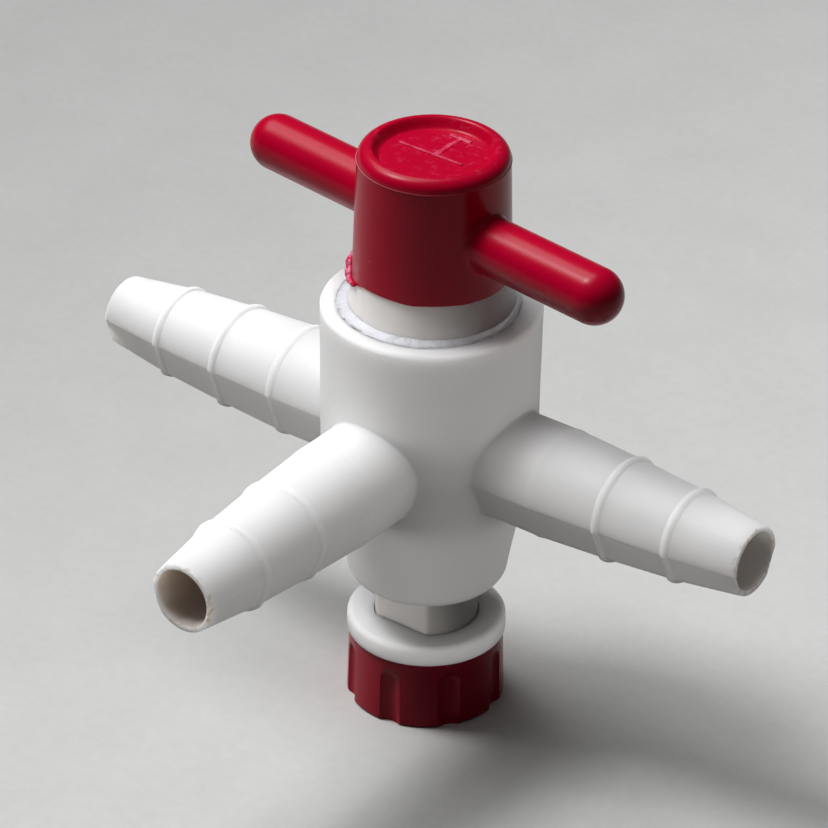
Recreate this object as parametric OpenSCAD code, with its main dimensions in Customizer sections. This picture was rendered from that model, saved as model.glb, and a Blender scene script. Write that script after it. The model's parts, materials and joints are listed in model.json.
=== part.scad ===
// Three-way plastic stopcock: a moulded barrel with three hose ports, a tapered plug
// with a T-shaped way through it, a T-handle, and the washer and thumb nut that draw
// the plug into its seat. Lengths are in millimetres. The origin is the middle of the
// nut's underside, and Z runs up the axis of the plug. The nut is shown backed off.

/* [Barrel] */
// Radius of the barrel at its flat top
barrel_top_r = 12.8; // [11.5:0.1:16]
// Radius of the barrel at the level of the hose ports
barrel_mid_r = 12.6; // [11.5:0.1:15]
// Radius of the barrel just above its rounded foot
barrel_foot_r = 9.45; // [8.5:0.05:11.4]
// Height of the barrel above the port axes
barrel_above = 17.3; // [14:0.1:24]
// Height of the barrel below the port axes
barrel_below = 19; // [14:0.1:24]
// Rounding of the barrel's top edge
barrel_top_round = 0.5; // [0.2:0.1:1.5]
// Rounding of the barrel's foot
barrel_foot_round = 2; // [0.5:0.1:2.6]

/* [Hose ports] */
// Distance from the plug axis to the tip of a port
port_reach = 45.4; // [40:0.1:60]
// Outer radius of a port at its tip
port_tip_r = 4.15; // [4:0.05:5]
// Radius of the plain cone under the first bead
first_base_r = 5.3; // [4.6:0.05:5.8]
// Radius of the plain cone under the second bead
second_base_r = 6; // [5.4:0.05:6.4]
// Radius of the plain cone under the third bead, and on to the barrel
third_base_r = 6.5; // [5.8:0.05:7]
// Distance from the tip to the first bead's crest
tip_land = 8.7; // [5:0.1:10]
// Distance from one bead's crest to the next
bead_pitch = 9; // [6:0.1:10]
// Height of the first two beads above the cone
bead_rise = 0.38; // [0.1:0.01:0.8]
// Height of the third bead above the cone
last_bead_rise = 0.28; // [0.1:0.01:0.8]
// Width of a bead along the port
bead_w = 2.8; // [1.5:0.1:4]
// Radius of the way through a port
port_bore_r = 3.4; // [2:0.05:3.5]
// Distance from the plug axis to where the way narrows to the plug's own bore
throat_reach = 13.6; // [12:0.1:20]
// Widening of the way at the very tip
lip_flare = 0.2; // [0.1:0.05:0.3]
// Depth over which the way widens
lip_depth = 0.8; // [0.3:0.1:2]
// Turn from the port axes' level to the flat cheeks of the left and front ports, in degrees down
crease_angle = -6; // [-10:0.5:-1]
// Turn that the cheeks of the left and front ports span, in degrees
cheek_angle = 52; // [20:1:60]
// Turn from the port axes' level to the flat cheeks of the right port, in degrees down
right_crease_angle = 2; // [1:0.5:10]
// Turn that the cheeks of the right port span, in degrees
right_cheek_angle = 45; // [20:1:60]

/* [Plug] */
// Radius of the plug level with the barrel's top
plug_top_r = 9.5; // [8.5:0.05:10]
// Radius of the plug level with the barrel's foot
plug_foot_r = 6.2; // [6.15:0.05:7]
// Radial gap between the plug and its seat
seat_gap = 0.05; // [0.02:0.01:0.1]
// Radius of the T-shaped way through the plug
plug_bore_r = 3; // [1.5:0.1:3.2]
// Height of the neck between the barrel and the handle
neck_h = 4.35; // [2:0.05:10]
// Gap under the neck's lower edge, which lets the taper seat
neck_lift = 0.3; // [0.2:0.05:1]
// Overhang of the neck's lower edge beyond the taper
neck_lip = 0.12; // [0.05:0.01:0.5]
// Radius of the neck where it meets the handle
neck_top_r = 8.9; // [7.5:0.05:9]
// Radius of the threaded tail
tail_r = 6.05; // [5:0.05:6.1]
// Distance from the axis to the flat along the tail
tail_flat = 4.9; // [3.5:0.05:4.9]
// Height of the tail's end above the nut's underside
tail_lift = 1.6; // [0.5:0.1:3]
// Chamfer on the tail's end
tail_chamfer = 0.7; // [0.2:0.1:1.5]

/* [Handle] */
// Radius of the hub just below its rim
hub_top_r = 8.75; // [8:0.05:11]
// Radius of the hub at its foot
hub_foot_r = 9.15; // [9.1:0.05:11]
// Height of the hub
hub_h = 15.7; // [13:0.05:20]
// Rounding of the hub's top edge
rim_round = 1.5; // [0.5:0.05:1.6]
// Width of the raised rim around the top
rim_w = 1.7; // [1.6:0.1:3]
// Depth of the recess inside the rim
recess_depth = 0.5; // [0.2:0.05:1.5]
// Width of the slope from the rim into the recess
recess_slope = 0.7; // [0.2:0.1:2]
// Radius of the arms
arm_r = 3.35; // [2.5:0.05:4]
// Length over both arms
arm_span = 56.4; // [40:0.2:80]
// Height of the arms' axis above the hub's foot
arm_lift = 6.6; // [4.5:0.1:8]
// Turn of the arms from the through ports, in degrees
arm_angle = -7.3; // [-15:0.1:15]
// Radius of the spigot that the hub is pressed on
spigot_r = 6.2; // [5:0.1:6.8]
// Distance from the axis to the spigot's two flats
spigot_flat = 5; // [3.5:0.1:5]
// Height of the spigot
spigot_h = 9; // [6:0.1:11]
// Gap around the spigot in the hub
spigot_gap = 0.04; // [0.02:0.01:0.1]

/* [Washer] */
// Radius of the washer
washer_r = 9.35; // [8.5:0.05:12]
// Thickness of the washer
washer_t = 2.45; // [1.5:0.05:4]
// Rounding of the washer's upper edge
washer_round = 1.1; // [0.3:0.1:1.3]
// Gap between the washer's D-shaped hole and the tail
washer_play = 0.15; // [0.05:0.05:0.4]
// Distance from the washer up to the barrel with the nut backed off
slack = 5.2; // [1:0.1:8]

/* [Nut] */
// Radius of the nut at its lower edge
nut_foot_r = 9.3; // [8.8:0.05:12]
// Radius of the nut under the washer
nut_top_r = 9.1; // [8.6:0.05:12]
// Height of the nut
nut_h = 8.6; // [6:0.1:14]
// Rounding of the nut's lower edge
nut_round = 0.4; // [0.1:0.1:1]
// Radial gap between the nut and the threaded tail
thread_gap = 0.05; // [0.02:0.01:0.1]
// Gap between the nut and the washer
face_gap = 0.05; // [0.02:0.01:0.2]
// Number of finger flutes
flutes = 8; // [5:1:12]
// Radius of a flute's hollow
flute_r = 2; // [1.2:0.1:4]
// Depth of a flute
flute_depth = 0.6; // [0.3:0.05:1.2]
// Height of the plain collar above the flutes
collar_h = 1.1; // [0.5:0.1:3]
// Turn of the first flute from the through ports, in degrees
flute_angle = 9.5; // [-20:0.5:20]

/* [Hidden] */
// Segments in a quarter of a rounded edge
quarter_steps = 5;
// Segments in half a bead
bead_steps = 4;
// How far a cut runs past the face that it opens
overrun = 1;
// Share of the barrel's wall that a port's root starts at
root_share = 0.3;
$fn = 96;

// Levels up the axis
washer_z = nut_h + face_gap;
barrel_foot_z = washer_z + washer_t + slack;
port_z = barrel_foot_z + barrel_below;
barrel_top_z = port_z + barrel_above;
hub_foot_z = barrel_top_z + neck_h;
hub_top_z = hub_foot_z + hub_h;
arm_z = hub_foot_z + arm_lift;

// The taper that the plug and its seat share
taper_slope = (plug_top_r - plug_foot_r) / (barrel_top_z - barrel_foot_z);
function plug_r(z) = plug_foot_r + taper_slope * (z - barrel_foot_z);
function seat_r(z) = plug_r(z) + seat_gap;

// Places along a port, measured from the plug axis
first_bead = port_reach - tip_land;
second_bead = first_bead - bead_pitch;
third_bead = second_bead - bead_pitch;
beads = [[first_bead, bead_rise], [second_bead, bead_rise], [third_bead, last_bead_rise]];
port_root = seat_r(port_z) + root_share * (barrel_mid_r - seat_r(port_z));

// Turn of each port from +X, and the start and span of its cheeks
ports = [
    [0, right_crease_angle, right_cheek_angle],
    [180, crease_angle, cheek_angle],
    [-90, crease_angle, cheek_angle]
];

// Radius of a port's plain cone at places along it
cone = [
    [port_root, third_base_r],
    [third_bead, third_base_r],
    [second_bead, second_base_r],
    [first_bead, first_base_r],
    [port_reach, port_tip_r]
];
bead_places = [
    for (b = beads)
        for (i = [-bead_steps : bead_steps])
            b[0] - i / bead_steps * bead_w / 2
];
port_places = concat([port_reach], bead_places, [port_root]);
tip_slope = (first_base_r - port_tip_r) / tip_land;

// Places along a cheek, each midway between two of the port's own
cheek_places = [
    for (b = beads)
        for (i = [-bead_steps : bead_steps - 1])
            b[0] - (i + 0.5) / bead_steps * bead_w / 2
];

function bump(s, b) =
    abs(s - b[0]) < bead_w / 2 ? b[1] * (1 + cos(360 * (s - b[0]) / bead_w)) / 2 : 0;
function port_r(s) = lookup(s, cone) + max([for (b = beads) bump(s, b)]);

// Points of a rounded corner about a centre, from one angle to another
function corner(x, z, r, from, to) = [
    for (i = [0 : quarter_steps])
        let (a = from + (to - from) * i / quarter_steps)
        [x + r * cos(a), z + r * sin(a)]
];

// A solid turned from an outline of radii and heights
module turned(outline) {
    rotate_extrude()
        polygon(outline);
}

// A round bar with one flat that faces the front port
module d_bar(r, flat, h) {
    linear_extrude(height = h)
        intersection() {
            circle(r);
            translate([-r, -flat])
                square([2 * r, flat + r]);
        }
}

// The outside of one hose port, standing on its root with its lower side towards +X
module port_outside(start, span) {
    outline = [for (s = port_places) [port_r(s), s]];
    difference() {
        turned(concat([[0, port_root], [0, port_reach]], outline));
        for (side = [-1, 1])
            rotate([0, 0, side * (90 - start - span / 2)])
                cheek_cut(span);
    }
}

// What the mould leaves off below the parting line: everything past a flat cheek
module cheek_cut(span) {
    chord_share = cos(span / 2);
    far = third_base_r + bead_rise + overrun;
    face = [for (s = cheek_places) [port_r(s) * chord_share, s]];
    tip_z = port_reach + overrun;
    tip_r = port_tip_r - tip_slope * overrun;
    tip = [[far, tip_z], [tip_r * chord_share, tip_z]];
    root = [[third_base_r * chord_share, port_root - overrun], [far, port_root - overrun]];
    rotate([90, 0, 0])
        linear_extrude(height = 2 * far, center = true)
            polygon(concat(tip, face, root));
}

// The way through one hose port, narrowed at the barrel and widened at its lip
module port_way() {
    cylinder(h = port_reach, r = plug_bore_r);
    translate([0, 0, throat_reach])
        cylinder(h = port_reach - throat_reach + overrun, r = port_bore_r);
    flare_h = lip_depth + overrun;
    flare_r = port_bore_r + lip_flare / lip_depth * flare_h;
    translate([0, 0, port_reach - lip_depth])
        cylinder(h = flare_h, r1 = port_bore_r, r2 = flare_r);
}

// Carries a shape from the upright to a port that points a given turn from +X
module at_port(turn) {
    translate([0, 0, port_z])
        rotate([0, 90, turn])
            children();
}

// Body: barrel and hose ports, one white moulding
module body() {
    foot_z = barrel_foot_z + barrel_foot_round;
    foot = corner(barrel_foot_r - barrel_foot_round, foot_z, barrel_foot_round, -90, 0);
    top_z = barrel_top_z - barrel_top_round;
    top = corner(barrel_top_r - barrel_top_round, top_z, barrel_top_round, 0, 90);
    barrel = concat([[0, barrel_foot_z]], foot, [[barrel_mid_r, port_z]], top, [[0, barrel_top_z]]);
    color("white")
        difference() {
            union() {
                turned(barrel);
                for (p = ports)
                    at_port(p[0])
                        port_outside(p[1], p[2]);
            }
            translate([0, 0, barrel_foot_z - overrun])
                cylinder(
                    h = barrel_top_z - barrel_foot_z + 2 * overrun,
                    r1 = seat_r(barrel_foot_z - overrun),
                    r2 = seat_r(barrel_top_z + overrun)
                );
            for (p = ports)
                at_port(p[0])
                    port_way();
        }
}

// Plug: tapered key with a T-shaped way, a keyed spigot above and a flatted tail below
module plug() {
    neck_z = barrel_top_z + neck_lift;
    neck_foot_r = plug_r(neck_z) + neck_lip;
    spigot_top_z = hub_foot_z + spigot_h;
    outline = [
        [0, tail_lift],
        [tail_r - tail_chamfer, tail_lift],
        [tail_r, tail_lift + tail_chamfer],
        [tail_r, barrel_foot_z],
        [plug_foot_r, barrel_foot_z],
        [plug_r(neck_z), neck_z],
        [neck_foot_r, neck_z],
        [neck_top_r, hub_foot_z],
        [spigot_r, hub_foot_z],
        [spigot_r, spigot_top_z],
        [0, spigot_top_z]
    ];
    color("ivory")
        difference() {
            turned(outline);
            translate([-plug_top_r, -plug_top_r, 0])
                cube([2 * plug_top_r, plug_top_r - tail_flat, barrel_foot_z]);
            for (side = [0, 180])
                rotate([0, 0, side])
                    translate([-plug_top_r, spigot_flat, hub_foot_z])
                        cube([2 * plug_top_r, plug_top_r, spigot_h + overrun]);
            translate([-plug_top_r, 0, port_z])
                rotate([0, 90, 0])
                    cylinder(h = 2 * plug_top_r, r = plug_bore_r);
            translate([0, 0, port_z])
                rotate([-90, 0, 0])
                    cylinder(h = plug_top_r, r = plug_bore_r);
        }
}

// Handle: red hub with a rimmed top and two round arms, one moulding
module handle() {
    rim_z = hub_top_z - rim_round;
    recess_r = hub_top_r - rim_w;
    recess_z = hub_top_z - recess_depth;
    rim = corner(hub_top_r - rim_round, rim_z, rim_round, 0, 90);
    recess = [[recess_r, hub_top_z], [recess_r - recess_slope, recess_z], [0, recess_z]];
    end = arm_span / 2 - arm_r;
    arms = concat(corner(0, -end, arm_r, -90, 0), corner(0, end, arm_r, 0, 90));
    socket_r = spigot_r + spigot_gap;
    socket_flat = spigot_flat + spigot_gap;
    color("crimson")
        difference() {
            union() {
                turned(concat([[0, hub_foot_z], [hub_foot_r, hub_foot_z]], rim, recess));
                translate([0, 0, arm_z])
                    rotate([0, 90, arm_angle])
                        turned(arms);
            }
            translate([0, 0, hub_foot_z - overrun])
                linear_extrude(height = spigot_h + spigot_gap + overrun)
                    intersection() {
                        circle(socket_r);
                        square([2 * socket_r, 2 * socket_flat], center = true);
                    }
        }
}

// Washer: thick ring whose D-shaped hole keeps it from turning on the tail
module washer() {
    edge = corner(washer_r - washer_round, washer_z + washer_t - washer_round, washer_round, 0, 90);
    color("white")
        difference() {
            turned(concat([[0, washer_z], [washer_r, washer_z]], edge, [[0, washer_z + washer_t]]));
            translate([0, 0, washer_z - overrun])
                d_bar(tail_r + washer_play, tail_flat + washer_play, washer_t + 2 * overrun);
        }
}

// The hollow of one finger flute, a round-ended bar that stands on the nut's underside
module flute() {
    end_rise = sqrt(pow(flute_r, 2) - pow(flute_r - flute_depth, 2));
    dome_z = nut_h - collar_h - end_rise;
    turned(concat([[0, -2 * overrun], [flute_r, -2 * overrun]], corner(0, dome_z, flute_r, 0, 90)));
}

// Nut: red thumb nut with finger flutes that run out below a plain collar
module nut() {
    foot = corner(nut_foot_r - nut_round, nut_round, nut_round, -90, 0);
    lean = atan((nut_foot_r - nut_top_r) / nut_h);
    color("crimson")
        difference() {
            turned(concat([[0, 0]], foot, [[nut_top_r, nut_h], [0, nut_h]]));
            translate([0, 0, -overrun])
                cylinder(h = nut_h + 2 * overrun, r = tail_r + thread_gap);
            for (i = [0 : flutes - 1])
                rotate([0, 0, flute_angle + 360 * i / flutes])
                    translate([nut_foot_r - flute_depth + flute_r, 0, 0])
                        rotate([0, -lean, 0])
                            flute();
        }
}

body();
plug();
handle();
washer();
nut();
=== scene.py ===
# %% [markdown]
# # A three-way plastic stopcock
# The object is a small laboratory tap: a white moulded barrel with three ribbed hose ports, a tapered
# plug that turns inside it, a red T-handle on top, and a washer and thumb nut that pull the plug into
# its seat from below. The construction model is loaded first as a fixed frame, in metres. Every visible
# solid is then modelled again by hand around the same axis, with the small signs of moulding and use
# that the plain solids leave out.

# %% Load the construction model
import json
from math import atan, atan2, cos, pi, radians, sin, sqrt
import bmesh
import bpy
from mathutils import Matrix, Vector


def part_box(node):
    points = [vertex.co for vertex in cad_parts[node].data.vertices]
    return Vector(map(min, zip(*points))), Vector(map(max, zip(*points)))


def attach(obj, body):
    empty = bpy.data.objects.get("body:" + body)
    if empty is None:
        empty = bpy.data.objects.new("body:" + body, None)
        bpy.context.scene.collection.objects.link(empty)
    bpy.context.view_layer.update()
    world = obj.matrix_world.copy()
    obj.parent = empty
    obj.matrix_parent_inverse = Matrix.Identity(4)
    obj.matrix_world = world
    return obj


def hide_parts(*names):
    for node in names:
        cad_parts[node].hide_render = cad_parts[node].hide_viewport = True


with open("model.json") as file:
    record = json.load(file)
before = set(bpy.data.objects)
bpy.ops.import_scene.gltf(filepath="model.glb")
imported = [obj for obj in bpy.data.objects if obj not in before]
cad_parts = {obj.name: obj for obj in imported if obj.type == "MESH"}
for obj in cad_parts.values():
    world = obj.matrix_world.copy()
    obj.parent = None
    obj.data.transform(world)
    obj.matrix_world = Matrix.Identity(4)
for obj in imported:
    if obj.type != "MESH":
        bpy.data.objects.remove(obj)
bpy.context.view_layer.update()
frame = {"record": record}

MM = 0.001

# %% [markdown]
# The levels up the axis come from the boxes of the construction solids, and the ports from the mounts in
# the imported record, so that each modelled piece lands where the solid it stands for is.

# %% Levels up the axis
mounts = {mount["name"]: mount for mount in frame["record"]["mounts"]}
body_low, body_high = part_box("body")
plug_low, plug_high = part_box("plug")
handle_low, handle_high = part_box("handle")
washer_low, washer_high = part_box("washer")
nut_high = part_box("nut")[1]
port_z = mounts["right_way"]["pos_m"][2]
port_reach = mounts["right_hose"]["pos_m"][0]
print("ports at", round(port_z / MM, 2), "mm, reaching", round(port_reach / MM, 2), "mm")

# %% [markdown]
# The camera stands where the photographer stood: to the right of the front port, looking down by about
# 31 degrees, far away with a long lens, so that the ports hardly taper with distance. It was found by
# matching the tips of the ports and arms. The camera also leans by a degree, and a small shift puts the
# crossing of the ports at its place in the picture.

# %% Camera
picture_px = 828
crossing_px = (429.461, 430.731)
camera_turn = radians(36.40)
camera_rise = radians(31.288)
camera_lean = radians(0.967)
camera_distance = 0.638445

back = Vector((sin(camera_turn) * cos(camera_rise), -cos(camera_turn) * cos(camera_rise), sin(camera_rise)))
level_right = Vector((cos(camera_turn), sin(camera_turn), 0))
level_up = back.cross(level_right)
right = level_right * cos(camera_lean) + level_up * sin(camera_lean)
up = level_up * cos(camera_lean) - level_right * sin(camera_lean)
crossing = Vector((0, 0, port_z))
bpy.ops.object.select_all(action="DESELECT")
bpy.ops.object.camera_add()
camera = bpy.context.object
camera.name = "photographer"
camera.matrix_world = Matrix((right, up, back)).transposed().to_4x4()
camera.location = crossing + back * camera_distance
camera.data.lens = 240
camera.data.sensor_width = 36
camera.data.shift_x = (picture_px / 2 - crossing_px[0]) / picture_px
camera.data.shift_y = (crossing_px[1] - picture_px / 2) / picture_px
camera.data.clip_end = 10
bpy.context.scene.camera = camera
bpy.context.scene.view_settings.view_transform = "Standard"
print("camera at", [round(v, 3) for v in camera.location])

# %% [markdown]
# Nearly all of this object was turned or moulded in the round, so most pieces start as a ring that is
# drawn along an outline of radii and heights, as the tool of a lathe would follow it. A spin of a profile
# would give the same, but with extruded rings each ring can be changed on its way. One helper adds the
# first ring, open for a tube or filled for a solid, and one extrudes and scales it from point to point.
# Another makes the points of a rounded corner.

# %% Lathe helpers
def start_ring(name, radius, height, count, filled):
    """Adds a level ring around the axis and leaves it selected in edit mode."""
    bpy.ops.object.select_all(action="DESELECT")
    fill = "NGON" if filled else "NOTHING"
    bpy.ops.mesh.primitive_circle_add(vertices=count, radius=radius, fill_type=fill)
    piece = bpy.context.object
    piece.name = name
    bpy.ops.object.mode_set(mode="EDIT")
    bpy.ops.mesh.select_all(action="SELECT")
    bpy.ops.transform.translate(value=(0, 0, height))
    return piece


def draw_along(outline):
    """Draws the selected ring through the outline's points of radius and height."""
    for (r, z), (next_r, next_z) in zip(outline, outline[1:]):
        bpy.ops.mesh.extrude_region_move(TRANSFORM_OT_translate={"value": (0, 0, next_z - z)})
        share = next_r / r
        bpy.ops.transform.resize(value=(share, share, 1), center_override=(0, 0, next_z))


def finish_mesh():
    """Merges doubled points, turns the faces outwards and leaves edit mode."""
    bpy.ops.mesh.select_all(action="SELECT")
    bpy.ops.mesh.remove_doubles(threshold=0.002 * MM)
    bpy.ops.mesh.normals_make_consistent(inside=False)
    bpy.ops.object.mode_set(mode="OBJECT")


def rounded(r, z, radius, first, last, steps=6):
    """Points of a round corner about a centre, from one angle to another in degrees."""
    turns = [radians(first + (last - first) * i / steps) for i in range(steps + 1)]
    return [(r + radius * cos(t), z + radius * sin(t)) for t in turns]


def lathe(name, outline, count=192, filled=True):
    """A solid drawn along an outline, or a closed tube where the outline ends at its start."""
    piece = start_ring(name, outline[0][0], outline[0][1], count, filled)
    draw_along(outline)
    finish_mesh()
    return piece


print("lathe helpers ready")

# %% [markdown]
# The stage is a wide sheet of pale card that curves up far away on every side, so that any view shows card
# behind the object. It is a shallow bowl, drawn with the same helpers, and it isn't part of the object.

# %% Stage
card_middle_r = 0.02
card_r = 1.6
card_rise = 0.62
card_bend = 0.3
card_outline = [(card_middle_r, 0), (card_r, 0)]
card_outline += rounded(card_r, card_bend, card_bend, -90, 0, 16)[1:] + [(card_r + card_bend, card_rise)]
card = start_ring("card_sheet", card_middle_r, 0, 96, True)
draw_along(card_outline)
bpy.ops.mesh.delete(type="ONLY_FACE")
bpy.ops.mesh.select_all(action="SELECT")
bpy.ops.mesh.normals_make_consistent(inside=True)
bpy.ops.object.mode_set(mode="OBJECT")
bpy.ops.object.shade_smooth()
print("stage of", len(card.data.polygons), "faces")

# %% [markdown]
# Materials and the room's light are built from nodes. One function turns the hex colours into linear
# values, one adds a node with its settings and links, and one starts a material. Patterns read Object
# coordinates, which are metres here, so a pattern's scale is one over its real size.

# %% Material helpers
def linear(code):
    """A colour written as sRGB hex, in linear values."""
    parts = [int(code[i:i + 2], 16) / 255 for i in (1, 3, 5)]
    return tuple(c / 12.92 if c <= 0.04045 else ((c + 0.055) / 1.055) ** 2.4 for c in parts) + (1.0,)


def add_node(tree, kind, inputs=None, **settings):
    """Adds a node, sets what is given and links what is another node or one of its outputs."""
    made = tree.nodes.new("ShaderNode" + kind)
    for name, value in settings.items():
        setattr(made, name, value)
    for socket, value in (inputs or {}).items():
        if isinstance(value, bpy.types.Node):
            value = next(output for output in value.outputs if output.enabled)
        if isinstance(value, bpy.types.NodeSocket):
            tree.links.new(value, made.inputs[socket])
        else:
            made.inputs[socket].default_value = value
    return made


def start_material(name, **inputs):
    """A new material with its shader's constants set, and the Object coordinates to paint by."""
    material = bpy.data.materials.new(name)
    material.use_nodes = True
    tree = material.node_tree
    shader = tree.nodes["Principled BSDF"]
    for socket, value in inputs.items():
        shader.inputs[socket.replace("_", " ")].default_value = value
    where = add_node(tree, "TexCoord").outputs["Object"]
    return material, tree, shader, where


def per(size_mm):
    """The texture scale that gives a pattern of that size in millimetres."""
    return 1 / (size_mm * MM)


def wear_piece(piece, material):
    """Gives a piece its one material."""
    piece.data.materials.clear()
    piece.data.materials.append(material)


print("mid grey #808080 is", [round(c, 3) for c in linear("#808080")])

# %% [markdown]
# The photograph is lit from the left and above, which leaves the right sides in shade and throws a soft
# shadow to the right. A large soft box gives the even light. A small lamp a little nearer the camera draws
# the firmer part of the shadow, lights the front of the right port past the hub, and leaves the bright
# lines along the arms. One large lamp alone would leave the shadow without a firm core.

# %% Lamps
def soft_lamp(name, place, aim, sides, power, colour):
    """A rectangular soft lamp that looks from a place at an aim."""
    bpy.ops.object.select_all(action="DESELECT")
    bpy.ops.object.light_add(type="AREA")
    made = bpy.context.object
    made.name = name
    made.data.shape = "RECTANGLE"
    made.data.size, made.data.size_y = sides
    made.data.energy = power
    made.data.color = colour
    made.location = place
    made.rotation_euler = (place - aim).to_track_quat("Z", "Y").to_euler()
    return made


def towards(turn, rise):
    """The direction at a plan angle and a height angle in degrees."""
    flat = cos(radians(rise))
    return Vector((cos(radians(turn)) * flat, sin(radians(turn)) * flat, sin(radians(rise))))


lamp_colour = (0.985, 0.992, 1.0)
box_turn = 180
box_rise = 63
box_distance = 1.0
box_side = 0.72
box_power = 6.2
small_turn = 204
small_rise = 61
small_distance = 0.98
small_side = 0.22
small_power = 3.6
box_place = crossing + towards(box_turn, box_rise) * box_distance
small_place = crossing + towards(small_turn, small_rise) * small_distance
soft_lamp("soft_box", box_place, crossing, (box_side, box_side), box_power, lamp_colour)
soft_lamp("small_lamp", small_place, crossing, (small_side, small_side), small_power, lamp_colour)
print("lamps at", [round(v, 2) for v in box_place], "and", [round(v, 2) for v in small_place])

# %% [markdown]
# The room gives little light of its own, a bit more from the ceiling than from the sides, so that the red
# plastic stays deep in the shade.

# %% Room light
room_low = 0.02
room_high = 0.1
room = bpy.data.worlds.new("room_light")
room.use_nodes = True
sky = room.node_tree
direction = add_node(sky, "TexCoord").outputs["Generated"]
height = add_node(sky, "SeparateXYZ", {0: direction}).outputs["Z"]
height = add_node(sky, "Math", {0: height, 1: 0.0}, operation="MAXIMUM")
height = add_node(sky, "Math", {0: height, 1: 2.0}, operation="POWER")
level = add_node(sky, "MapRange", {"Value": height, "To Min": room_low, "To Max": room_high})
sky.nodes["Background"].inputs["Color"].default_value = (1.0, 0.985, 0.96, 1)
sky.links.new(level.outputs[0], sky.nodes["Background"].inputs["Strength"])
bpy.context.scene.world = room
print("room light from", room_low, "to", room_high)

# %% [markdown]
# The card under the object is uncoated pale grey paper. Its tone is darkened a little towards the lamp's
# side, a painted shade that stands in for the light falling off across the card. Its fibres give a faint
# mottle and a fine tooth. To the eye and in reflections it is pale, but it sends little light back up to
# the object, as a small sheet in a dark room would. The Light Path node tells the two apart.

# %% Pale card
# Uncoated paper: no shine, and a mottle that only shows close by.
pale_card, tree, shader, where = start_material("pale_card", Roughness=0.9, Specular_IOR_Level=0.2)
fibres = add_node(tree, "TexNoise", {"Vector": where, "Scale": per(1.6), "Detail": 4.0, "Roughness": 0.6})
clouds = add_node(tree, "TexNoise", {"Vector": where, "Scale": per(14), "Detail": 3.0})
mottle = add_node(tree, "Math", {0: fibres, 1: clouds}, operation="ADD")
shade = add_node(tree, "MapRange", {"Value": mottle, "From Min": 0.7, "From Max": 1.3})
tone = add_node(tree, "Mix", {"Factor": shade, 6: linear("#ebebe9"), 7: linear("#f2f2f0")}, data_type="RGBA")
# Painted shade: the card is darkened towards the lamp's side, standing in for the light falling off across
# it.
depth = add_node(tree, "VectorMath", {0: where, 1: (-0.92, 0.05, 0)}, operation="DOT_PRODUCT")
painted_falloff = add_node(tree, "MapRange",
                {"Value": depth, "From Min": -80 * MM, "From Max": 180 * MM, "To Min": 1.0,
                 "To Max": 0.6}, interpolation_type="SMOOTHSTEP")
tone_with_painted_falloff = add_node(tree, "VectorMath", {0: tone, "Scale": painted_falloff}, operation="SCALE")
path = add_node(tree, "LightPath")
seen = add_node(tree, "Math",
                {0: path.outputs["Is Camera Ray"], 1: path.outputs["Is Glossy Ray"]}, operation="MAXIMUM")
seen = add_node(tree, "Math", {0: seen, 1: path.outputs["Is Transmission Ray"]}, operation="MAXIMUM")
paper = add_node(tree, "Mix", {"Factor": seen, 6: linear("#504d4a"), 7: tone_with_painted_falloff}, data_type="RGBA")
tree.links.new(paper.outputs[2], shader.inputs["Base Color"])
tooth = add_node(tree, "Bump", {"Height": fibres, "Strength": 0.25, "Distance": 0.1 * MM})
tree.links.new(tooth.outputs[0], shader.inputs["Normal"])
wear_piece(card, pale_card)
print("card painted")

# %% [markdown]
# The barrel is a tube with a conical seat for the plug. Its outside widens from the rounded foot to the
# level of the ports, where the two halves of the mould met and left a faint line, and is nearly straight
# above that. The outline runs up the outside and back down the seat to its start, so the wall is closed.

# %% Barrel
barrel_foot_z = body_low.z
barrel_top_z = body_high.z
barrel_top_r = body_high.y
barrel_mid_r = 12.6 * MM
barrel_foot_r = 9.45 * MM
barrel_top_round = 0.5 * MM
barrel_foot_round = 2 * MM
plug_top_r = 9.5 * MM
plug_foot_r = 6.2 * MM
seat_gap = 0.05 * MM
parting_step = 0.07 * MM
parting_w = 0.12 * MM

foot_r = barrel_foot_r - barrel_foot_round
barrel_outline = rounded(foot_r, barrel_foot_z + barrel_foot_round, barrel_foot_round, -90, 0, 10)
barrel_outline += [(barrel_mid_r - parting_step, port_z - parting_w), (barrel_mid_r, port_z)]
top_r = barrel_top_r - barrel_top_round
barrel_outline += rounded(top_r, barrel_top_z - barrel_top_round, barrel_top_round, 0, 90)
barrel_outline += [(plug_top_r + seat_gap, barrel_top_z), (plug_foot_r + seat_gap, barrel_foot_z)]
barrel_outline += barrel_outline[:1]
tap_body = lathe("tap_body", barrel_outline, filled=False)
print("barrel of", len(tap_body.data.polygons), "faces")

# %% [markdown]
# Each hose port is a cone with three raised beads that grip a hose. The beads are low arches on the cone's
# outline, each a little shorter on the tip's side. They could be rings joined on later, but in the outline
# they blend into the cone as a moulded bead does.

# %% Outline of a port
first_bead = port_reach - 8.7 * MM
bead_pitch = 9 * MM
crests = [first_bead, first_bead - bead_pitch, first_bead - 2 * bead_pitch]
bead_back = 0.62 * MM
bead_fore = 0.5 * MM
bead_steps = 7
port_root = 9.4 * MM
port_base_r = 6.5 * MM
tip_r = 4.15 * MM
tip_round = 0.12 * MM
tip_slack = 0.04 * MM
cone = [(port_root, port_base_r), (crests[2], port_base_r), (crests[1], 6 * MM), (crests[0], 5.3 * MM),
        (port_reach, tip_r)]
shank = 15 * MM
tip_s = port_reach - tip_slack


def cone_radius(s):
    """Radius of a port's plain cone at a distance from the plug axis."""
    for (s0, r0), (s1, r1) in zip(cone, cone[1:]):
        if s <= s1:
            return r0 + (r1 - r0) * (s - s0) / (s1 - s0)


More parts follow.
